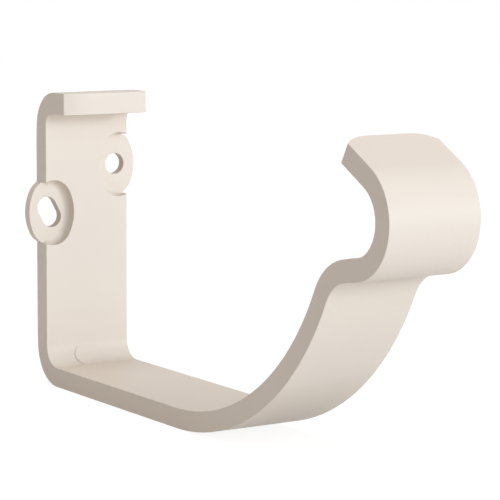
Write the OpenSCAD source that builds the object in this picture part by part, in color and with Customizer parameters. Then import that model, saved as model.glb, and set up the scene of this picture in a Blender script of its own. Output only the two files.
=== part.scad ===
// Gutter bracket for an ogee gutter, cast in one piece: a strap bent to the gutter's section.
// The origin is the middle of the back plate's wall face. The gutter lies towards -Y and +Z is up.
// Modules measure heights from the underside of the floor. Dimensions are in millimetres.

/* [Strap] */
// Width of the strap
strap_w = 25; // [20:0.5:40]
// Thickness of the strap
strap_t = 5.2; // [4:0.1:7]

/* [Back plate] */
// Height from the underside of the floor to the top of the lip
back_h = 79; // [72:0.5:110]
// Inside radius of the heel, between back plate and floor
heel_r = 5.3; // [2:0.1:12]

/* [Lip] */
// Reach of the lip from the wall plane
lip_reach = 16.3; // [13:0.1:22]
// Thickness of the lip
lip_t = 5.7; // [4:0.1:8]
// Radius on the outside of the lip, at the back
lip_back_r = 9.5; // [3:0.1:11]
// Fillet under the lip
lip_fillet_r = 3; // [1:0.1:5]
// Length over which the lip's front eases back at the near end
near_ease_l = 7.5; // [3:0.1:10]
// How far the lip's near end lies back from its front
near_ease = 1.1; // [0.3:0.1:2]
// Length over which the lip's front eases back at the far end
far_ease_l = 2.8; // [1.5:0.1:8]
// How far the lip's far end lies back from its front
far_ease = 0.9; // [0.3:0.1:1.4]

/* [Floor and sweep] */
// Distance from the wall plane to the end of the flat floor
floor_end = 71.6; // [40:0.2:120]
// Inside radius of the sweep up the front of the gutter
sweep_r = 66.2; // [30:0.2:90]
// Angle through which the sweep turns
sweep_angle = 64; // [50:0.5:75]

/* [Brow and step] */
// Radius under the brow, where the strap bends forward again
brow_r = 9.6; // [5:0.1:20]
// Length of the straight step under the bead
step_l = 4; // [1:0.1:15]
// Upward slope of the step
step_rise = 8; // [0:0.5:15]
// Extra slope of the top of the step, which leaves an edge for the bead to sit against
seat_rise = 4; // [1:0.5:6]

/* [Hook] */
// Radius of the space for the gutter's bead
bead_r = 8.5; // [6:0.1:14]
// Angle through which the hook turns round the bead
hook_angle = 143.5; // [120:0.5:160]
// Straight length of the tip at its two sides
tip_l = 9.5; // [4:0.1:16]
// Height of the tip's crown above its corners
tip_crown = 2.8; // [0.5:0.1:3.5]
// Distance from each side over which the crown rounds off
tip_round = 6.5; // [4:0.1:9]

/* [Ears] */
// Width of each ear's oval
ear_w = 12.2; // [10:0.1:16]
// Height of each ear's oval
ear_h = 17.4; // [16:0.1:24]
// Radius of the oval's top and bottom
ear_end_r = 5.3; // [4:0.1:5.8]
// Thickness of the ears
ear_t = 2.6; // [1.8:0.1:3.2]
// How far each ear stands out past the strap's side
ear_out = 3.7; // [3:0.1:5]
// Height of the lower ear's centre above the underside
low_ear_z = 46.4; // [30:0.2:48]
// Height of the upper ear's centre above the underside
high_ear_z = 58.5; // [30:0.2:60]

/* [Fixings] */
// Diameter of the screw hole and width of the slot
screw_d = 5.6; // [4:0.1:7]
// Travel of the screw along the slot
slot_travel = 3; // [1:0.1:5]
// Lean of the slot from upright, its top towards the near side
slot_lean = 28; // [0:1:45]

/* [Heel pad] */
// Diameter of the round pad set across the heel
pad_d = 8; // [5:0.1:12]
// Offset of the pad from the middle of the strap
pad_x = -0.5; // [-5:0.1:5]
// Height of the pad's face above the fillet
pad_rise = 1; // [0.4:0.1:1.5]

/* [Hidden] */
$fn = 96;
// Whether the strap's path draws its lengths or is only followed to its end
$drawn = true;
cream = [0.90, 0.86, 0.80];
cut = 1; // overrun of every cutting shape past the face it opens
seat_sink = 0.05; // depth of the bead seat below the brow's top, so that the two faces cross
// The strap's section is laid out small and then enlarged, which keeps the rounding error at its tangent
// joints far below the width of any edge
small = 0.01;
lip_under_z = back_h - lip_t;
lip_base_z = min(lip_under_z - lip_fillet_r, back_h - lip_back_r);
face_mid_z = (strap_t + heel_r + back_h - lip_back_r) / 2;
ear_x = strap_w / 2 + ear_out - ear_w / 2;
ear_end_z = ear_h / 2 - ear_end_r;
// Side radius of an oval made of four tangent arcs
ear_side_r = (pow(ear_w, 2) / 4 + pow(ear_end_z, 2) - pow(ear_end_r, 2)) / (ear_w - 2 * ear_end_r);

// Half of a plane, on the +X side of the Y axis
module half_plane(reach) {
    translate([0, -reach]) square([reach, 2 * reach]);
}

// Part of a ring round the origin, from the -Y direction anticlockwise through an angle of a
module bent(r, a) {
    intersection() {
        difference() {
            circle(small * (r + strap_t));
            circle(small * r);
        }
        half_plane(2 * small * (r + strap_t));
        rotate(a) mirror([1, 0]) half_plane(2 * small * (r + strap_t));
    }
}

// What an arc takes off a corner at the origin: it leaves the end face (+Y) at a distance of along
// from the side face (+X), and meets the side face at a distance of drop below the end
module corner_waste(along, drop) {
    r = (pow(along, 2) + pow(drop, 2)) / (2 * drop);
    difference() {
        translate([-along, -r]) square([along + cut, r + cut]);
        translate([-along, -r]) circle(r);
    }
}

// The strap's section is laid out as a path. It runs along +X, with its underside on the X axis and
// the gutter on the +Y side. Each length draws itself and hands its far end on to what follows.
module straight(l) {
    if ($drawn) square(small * [l, strap_t]);
    translate([small * l, 0]) children();
}

// Bend towards the gutter
module bend_in(r, a) {
    translate([0, small * (r + strap_t)]) {
        if ($drawn) bent(r, a);
        rotate(a) translate([0, -small * (r + strap_t)]) children();
    }
}

// Bend away from the gutter
module bend_out(r, a) {
    translate([0, -small * r]) {
        if ($drawn) mirror([0, 1]) bent(r, a);
        rotate(-a) translate([0, small * r]) children();
    }
}

// Steeper top of the step, from the brow to the bead's circle, which cuts it off square
module bead_seat() {
    scale(small) difference() {
        translate([-step_l, -brow_r]) rotate(seat_rise)
            translate([0, brow_r + strap_t / 2]) square([step_l + bead_r / 2, strap_t / 2 - seat_sink]);
        translate([0, strap_t + bead_r]) circle(bead_r);
    }
}

// Strap from below the lip to the end of the hook, with what follows placed at the tip
module strap_path() {
    plate_l = lip_base_z - heel_r - strap_t;
    floor_l = floor_end - heel_r - strap_t;
    translate([0, small * lip_base_z])
        rotate(-90)
            straight(plate_l)
                bend_in(heel_r, 90)
                    straight(floor_l)
                        bend_in(sweep_r, sweep_angle)
                            bend_out(brow_r, sweep_angle - step_rise)
                                straight(step_l) {
                                    if ($drawn) bead_seat();
                                    bend_in(bead_r, hook_angle) straight(tip_l + tip_crown) children();
                                }
}

// Section of the lip, drawn from the wall plane, with the back plate just below it
module lip_section() {
    scale(small) difference() {
        union() {
            translate([0, lip_base_z]) square([strap_t, back_h - lip_base_z]);
            translate([0, lip_under_z - lip_fillet_r]) square([strap_t + lip_fillet_r, lip_t + lip_fillet_r]);
            translate([0, lip_under_z]) square([lip_reach, lip_t]);
        }
        translate([strap_t + lip_fillet_r, lip_under_z - lip_fillet_r]) circle(lip_fillet_r);
        difference() {
            translate([-cut, back_h - lip_back_r]) square([lip_back_r + cut, lip_back_r + cut]);
            translate([lip_back_r, back_h - lip_back_r]) circle(lip_back_r);
        }
    }
}

// Stands a section up in the plane across the wall, its X axis towards the gutter
module upright() {
    rotate([90, 0, -90]) children();
}

module strap() {
    upright() linear_extrude(strap_w, center = true) scale(1 / small) {
        strap_path();
        lip_section();
    }
}

// Waste at the two ends of the lip's front
module lip_waste() {
    translate([0, -lip_reach, lip_under_z - cut]) linear_extrude(lip_t + 2 * cut) {
        translate([-strap_w / 2, 0]) rotate(180) corner_waste(near_ease_l, near_ease);
        translate([strap_w / 2, 0]) mirror([0, 1]) corner_waste(far_ease_l, far_ease);
    }
}

// Waste at the two corners of the hook's crowned tip
module tip_waste() {
    upright() scale(1 / small) strap_path($drawn = false)
        scale(small) rotate([-90, -90, 0]) translate([0, 0, -cut]) linear_extrude(strap_t + 2 * cut)
            for (side = [0, 1]) mirror([side, 0])
                translate([strap_w / 2, 0]) corner_waste(tip_round, tip_crown);
}

// Round pad across the heel, from a cylinder whose axis points into the corner
module heel_pad() {
    translate([pad_x, -strap_t - heel_r, strap_t + heel_r]) rotate([-135, 0, 0])
        translate([0, 0, heel_r - pad_rise]) cylinder(h = pad_rise + 1, d = pad_d);
}

// Oval of four tangent arcs, standing up
module ear_oval() {
    join_y = ear_end_z * ear_side_r / (ear_side_r - ear_end_r);
    intersection() {
        translate([ear_side_r - ear_w / 2, 0]) circle(ear_side_r);
        translate([ear_w / 2 - ear_side_r, 0]) circle(ear_side_r);
        square([2 * ear_w, 2 * join_y], center = true);
    }
    for (turn = [0, 180]) rotate(turn) intersection() {
        translate([0, ear_end_z]) circle(ear_end_r);
        translate([-ear_w / 2, join_y]) square([ear_w, ear_end_r]);
    }
}

// Takes a flat shape to the lower ear and the upper ear, its face on the wall plane
module at_low_ear() {
    translate([-ear_x, 0, low_ear_z]) rotate([90, 0, 0]) children();
}

module at_high_ear() {
    translate([ear_x, 0, high_ear_z]) rotate([90, 0, 0]) children();
}

module ear() {
    linear_extrude(ear_t) ear_oval();
}

// Space in front of an ear, sunk into the back plate
module recess() {
    translate([0, 0, ear_t]) linear_extrude(strap_t - ear_t + cut) ear_oval();
}

module screw_hole() {
    translate([0, 0, -cut]) cylinder(h = ear_t + 2 * cut, d = screw_d);
}

module screw_slot() {
    translate([0, 0, -cut]) linear_extrude(ear_t + 2 * cut) rotate(slot_lean) {
        for (end = [-1, 1]) translate([0, end * slot_travel / 2]) circle(d = screw_d);
        square([screw_d, slot_travel], center = true);
    }
}

module bracket() {
    color(cream)
        translate([0, 0, -face_mid_z])
            difference() {
                union() {
                    strap();
                    heel_pad();
                    at_low_ear() ear();
                    at_high_ear() ear();
                }
                lip_waste();
                tip_waste();
                at_low_ear() recess();
                at_high_ear() recess();
                at_low_ear() screw_slot();
                at_high_ear() screw_hole();
            }
}

bracket();
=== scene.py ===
import math

import bmesh
import bpy
from mathutils import Matrix, Vector


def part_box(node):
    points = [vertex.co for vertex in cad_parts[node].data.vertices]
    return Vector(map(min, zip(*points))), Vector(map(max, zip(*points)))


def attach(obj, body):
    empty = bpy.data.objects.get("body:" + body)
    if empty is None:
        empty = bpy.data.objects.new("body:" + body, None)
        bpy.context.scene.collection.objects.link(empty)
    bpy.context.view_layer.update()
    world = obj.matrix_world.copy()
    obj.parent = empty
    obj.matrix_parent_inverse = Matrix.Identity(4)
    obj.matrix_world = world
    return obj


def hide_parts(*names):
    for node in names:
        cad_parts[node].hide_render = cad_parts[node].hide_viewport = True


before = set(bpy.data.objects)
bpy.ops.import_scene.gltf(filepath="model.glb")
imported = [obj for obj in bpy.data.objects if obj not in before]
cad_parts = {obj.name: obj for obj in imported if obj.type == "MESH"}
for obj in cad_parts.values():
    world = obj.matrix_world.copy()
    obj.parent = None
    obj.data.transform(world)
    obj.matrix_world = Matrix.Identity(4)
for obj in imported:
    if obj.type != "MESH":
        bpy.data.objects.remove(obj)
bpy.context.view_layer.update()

# Bracket. One aluminium casting: back plate with its lip and two screw ears, floor, sweep and hook.
# It is tumbled, which eases its arrises, then sprayed with cream polyester powder and baked to a
# satin coat. Screws through the two ears fix it to the wall.


class Wire:
    """One output of a material's nodes. Arithmetic on it adds Math nodes."""

    def __init__(self, tree, socket=None):
        self.tree = tree
        self.socket = socket

    def node(self, kind, settings, inputs, output=0):
        """Adds any other node: its settings first, then its inputs, by name or number.

        The colours of a Mix node are its inputs 6 and 7 and its output 2.
        """
        made = self.tree.nodes.new("ShaderNode" + kind)
        for name, value in settings.items():
            setattr(made, name, value)
        for name, value in inputs.items():
            if isinstance(value, Wire):
                self.tree.links.new(value.socket, made.inputs[name])
            else:
                made.inputs[name].default_value = value
        return Wire(self.tree, made.outputs[output]) if made.outputs else None

    def maths(self, operation, first, second):
        return self.node("Math", {"operation": operation}, {0: first, 1: second})

    def __add__(self, other):
        return self.maths("ADD", self, other)

    def __mul__(self, other):
        return self.maths("MULTIPLY", self, other)

    def __rsub__(self, other):
        return self.maths("SUBTRACT", other, self)

    __radd__ = __add__
    __rmul__ = __mul__


# Sizes of the casting, in metres. The ears' heights are those of their middles above the underside
# of the floor.
low_corner, high_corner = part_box("bracket")
foot = low_corner.z
strap_thickness = 0.0052
heel_radius = 0.0053
ear_thickness = 0.0026
ear_half_width = 0.0061
upper_ear_height = 0.0585
lower_ear_height = 0.0464
screw_hole = Vector((high_corner.x - ear_half_width, -ear_thickness / 2, foot + upper_ear_height))
screw_slot = Vector((low_corner.x + ear_half_width, -ear_thickness / 2, foot + lower_ear_height))
# From the middle of the slot to just past its furthest wall, which takes in the round hole as well
slot_reach = 0.0047

powder = bpy.data.materials.new("cream_powder_coat")
powder.use_nodes = True
powder.node_tree.nodes.clear()
coat = Wire(powder.node_tree)
place = coat.node("TexCoord", {}, {}, "Object")

# Painted shade: the coat's colour is drawn towards a shaded brown in inside corners, by ambient occlusion,
# and on the walls of the two holes, where shade falls.
cream = (0.86, 0.80, 0.715, 1)
pale_cream = (0.875, 0.815, 0.73, 1)
shaded_cream = (0.60, 0.51, 0.42, 1)
corner_depth = 0.02
corner_shade = 0.6
hole_shade = 0.45
cloud = coat.node("TexNoise", {}, {"Vector": place, "Scale": 45.0, "Detail": 3.0, "Roughness": 0.5}, "Fac")
open_air = coat.node("AmbientOcclusion", {"samples": 16}, {"Distance": corner_depth}, "AO")
facing = coat.node("NewGeometry", {}, {}, "True Normal")
square_on = coat.node("VectorMath", {"operation": "DOT_PRODUCT"}, {0: facing, 1: (0, 1, 0)}, "Value")
from_hole = coat.node("VectorMath", {"operation": "DISTANCE"}, {0: place, 1: screw_hole}, "Value")
from_slot = coat.node("VectorMath", {"operation": "DISTANCE"}, {0: place, 1: screw_slot}, "Value")
nearest = coat.maths("MINIMUM", from_hole, from_slot)
hole_wall = coat.maths("LESS_THAN", nearest, slot_reach) * (1 - square_on * square_on)
film = coat.node("Mix", {"data_type": "RGBA"}, {0: cloud, 6: cream, 7: pale_cream}, 2)
# Painted shade: how far each point is darkened towards the shaded brown, in corners and on the hole walls.
painted_shade = corner_shade * (1 - open_air) + hole_shade * hole_wall
colour = coat.node("Mix", {"data_type": "RGBA"}, {0: painted_shade, 6: film, 7: shaded_cream}, 2)

# Baked powder is satin, with a very fine orange peel.
peel_depth = 0.0001
satin, cloudiness = 0.42, 0.08
peel = coat.node("TexNoise", {}, {"Vector": place, "Scale": 900.0, "Detail": 2.0, "Roughness": 0.45}, "Fac")
relief = coat.node("Bump", {}, {"Strength": 0.15, "Distance": peel_depth, "Height": peel}, "Normal")
surface = coat.node(
    "BsdfPrincipled",
    {},
    {
        "Base Color": colour,
        "Roughness": satin + cloudiness * cloud,
        "Normal": relief,
        "IOR": 1.5,
        "Specular IOR Level": 0.25,
    },
)
coat.node("OutputMaterial", {}, {"Surface": surface})

# The casting's mesh comes in thin triangles, so its flat faces are put together again first. Turns
# from one face to the next are in degrees.
same_point, same_plane = 1e-6, 1e-5
flat_turn, arris_turn, crease_turn = 0.3, 25, 40
skin = bmesh.new()
skin.from_mesh(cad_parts["bracket"].data)
bmesh.ops.remove_doubles(skin, verts=skin.verts, dist=same_point)
bmesh.ops.dissolve_limit(skin, angle_limit=math.radians(flat_turn), verts=skin.verts, edges=skin.edges)


def edges_turning(least, most):
    """Edges of the casting that turn by this many degrees. Outside arrises are above nought."""
    return [e for e in skin.edges if least < math.degrees(e.calc_face_angle_signed()) < most]


def clear_of(edges, points):
    return [e for e in edges if not points & set(e.verts)]


def round_off(edges, radius, segments):
    bmesh.ops.bevel(
        skin, geom=edges, offset=radius, offset_type="OFFSET", segments=segments, profile=0.5,
        affect="EDGES", clamp_overlap=False,
    )


# The pad in the heel is only a witness of the casting tool. Its flat face is cut into strips, which
# are let down to follow the heel's own curve and stay a little proud of it.
pad_radius, pad_offset = 0.004, -0.0005
rise_as_cast, rise_left = 0.001, 0.0002
margin = 0.0001
pad_depth = heel_radius - rise_as_cast
into_heel, along_heel = Vector((0, 1, -1)).normalized(), Vector((0, 1, 1)).normalized()
heel_centre = Vector((0, -strap_thickness - heel_radius, foot + strap_thickness + heel_radius))
pad = heel_centre + pad_depth * into_heel + Vector((pad_offset, 0, 0))
pad_rim = {
    v for v in skin.verts
    if (v.co - pad).length < pad_radius + margin and abs((v.co - pad).dot(into_heel)) < 2 * same_plane
}
rim_order = sorted(pad_rim, key=lambda v: (v.co - pad).dot(along_heel))
near_rim, far_rim = [v for v in rim_order if v.co.x < pad.x], [v for v in rim_order if v.co.x > pad.x]
for near, far in zip(near_rim[1:-1], far_rim[1:-1]):
    bmesh.ops.connect_verts(skin, verts=[near, far])
for v in pad_rim:
    to_heel_face = math.sqrt(heel_radius ** 2 - (v.co - pad).dot(along_heel) ** 2) - pad_depth
    v.co += max(to_heel_face - rise_left, 0) * into_heel

# The ear recesses are left with a fillet in their corners. The tumbled arrises stop short of the
# points where an outside arris meets an inside corner.
recess_fillet, arris_ease = 0.0019, 0.0002
inside, outside = edges_turning(-180, -arris_turn), edges_turning(arris_turn, 180)
crossings = {v for e in inside for v in e.verts} & {v for e in outside for v in e.verts}
recess_corners = [e for e in inside if all(abs(v.co.y + ear_thickness) < same_plane for v in e.verts)]
round_off(clear_of(recess_corners, crossings), recess_fillet, segments=6)
round_off(clear_of(edges_turning(arris_turn, 180), crossings | pad_rim), arris_ease, segments=2)
for edge in skin.edges:
    edge.smooth = edge.calc_face_angle() < math.radians(crease_turn)

shape = bpy.data.meshes.new("bracket_casting")
skin.to_mesh(shape)
skin.free()
shape.polygons.foreach_set("use_smooth", [True] * len(shape.polygons))
shape.materials.append(powder)
bracket = bpy.data.objects.new("bracket_casting", shape)
bpy.context.scene.collection.objects.link(bracket)
level = bracket.modifiers.new("level_faces", "WEIGHTED_NORMAL")
level.weight, level.keep_sharp = 100, True
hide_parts("bracket")
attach(bracket, "root")

# Studio. A round sheet of matt white card, wide enough to carry on out of sight, lies under the
# bracket. Large soft lamps stand five metres off in a pale room: cool ones in front, and warm ones
# above and behind.

middle = Vector((0, -0.08, 0))
card_radius = 1.6
bpy.ops.mesh.primitive_circle_add(
    vertices=96, radius=card_radius, fill_type="NGON", location=(middle.x, middle.y, foot)
)
floor = bpy.context.object
floor.name = "studio_floor"


def seen_itself(nodes):
    """One where the backdrop is seen, straight or off a shiny or clear surface, and nought elsewhere."""
    straight, shiny, clear = (
        nodes.node("LightPath", {}, {}, f"Is {ray} Ray") for ray in ("Camera", "Glossy", "Transmission")
    )
    return straight + shiny + clear


# Where it is seen, the card glows nearly white by itself and still takes the bracket's soft shadow.
card = bpy.data.materials.new("studio_white")
card.use_nodes = True
card.node_tree.nodes.clear()
sheet = Wire(card.node_tree)
matt = sheet.node("BsdfDiffuse", {}, {"Color": (0.8, 0.8, 0.8, 1)})
shaded = sheet.node("BsdfDiffuse", {}, {"Color": (0.3, 0.3, 0.3, 1)})
glow = sheet.node("Emission", {}, {"Color": (1, 1, 1, 1), "Strength": 0.87})
bright = sheet.node("AddShader", {}, {0: shaded, 1: glow})
paper = sheet.node("MixShader", {}, {0: seen_itself(sheet), 1: matt, 2: bright})
sheet.node("OutputMaterial", {}, {"Surface": paper})
floor.data.materials.append(card)

white = (1, 1, 1, 1)
wall_light = (0.26, 0.238, 0.224, 1)
world = bpy.data.worlds.new("pale_room")
bpy.context.scene.world = world
world.use_nodes = True
world.node_tree.nodes.clear()
room = Wire(world.node_tree)
backing = room.node("Mix", {"data_type": "RGBA"}, {0: seen_itself(room), 6: wall_light, 7: white}, 2)
room.node("OutputWorld", {}, {"Surface": room.node("Background", {}, {"Color": backing})})

lamp_width = 2.87
lamp_distance = 5
cool, warm = (0.972, 1.01, 1.07), (1.08, 0.985, 0.92)


def lamp(name, turn, height, watts, tint):
    """Round soft lamp, turned from the gutter's front towards +X and raised by these degrees."""
    light = bpy.data.lights.new(name, "AREA")
    light.shape = "DISK"
    light.size = lamp_width
    light.energy = watts
    light.color = tint
    turn, height = math.radians(turn), math.radians(height)
    away = Vector(
        (math.sin(turn) * math.cos(height), -math.cos(turn) * math.cos(height), math.sin(height))
    )
    holder = bpy.data.objects.new(name, light)
    holder.location = middle + lamp_distance * away
    holder.rotation_euler = away.to_track_quat("Z", "Y").to_euler()
    bpy.context.scene.collection.objects.link(holder)


lamp("front_lamp", 9, 6, 44, cool)
lamp("left_lamp", -10, 25, 26, cool)
lamp("side_lamp", 30, 5, 145, cool)
lamp("top_fill", 0, 90, 60, warm)
lamp("near_fill", 240, 42, 24, warm)

# Camera. A long lens stands in front of the gutter, to the left of the bracket and a little above
# it. It is aimed at the middle of the bracket and leans a third of a degree.

tripod_head = Vector((-0.3077, -0.5553, 0.0818))
turn, dip, lean = math.radians(33.24), math.radians(7.78), math.radians(0.33)
camera = bpy.data.cameras.new("camera")
camera.lens = 168.5
camera.sensor_width = 36
eye = bpy.data.objects.new("camera", camera)
bpy.context.scene.collection.objects.link(eye)
bpy.context.scene.camera = eye
ahead = Vector((math.sin(turn) * math.cos(dip), math.cos(turn) * math.cos(dip), -math.sin(dip)))
eye.matrix_world = (
    Matrix.Translation(tripod_head)
    @ ahead.to_track_quat("-Z", "Y").to_matrix().to_4x4()
    @ Matrix.Rotation(lean, 4, "Z")
)

scene = bpy.context.scene
scene.view_settings.view_transform = "Standard"
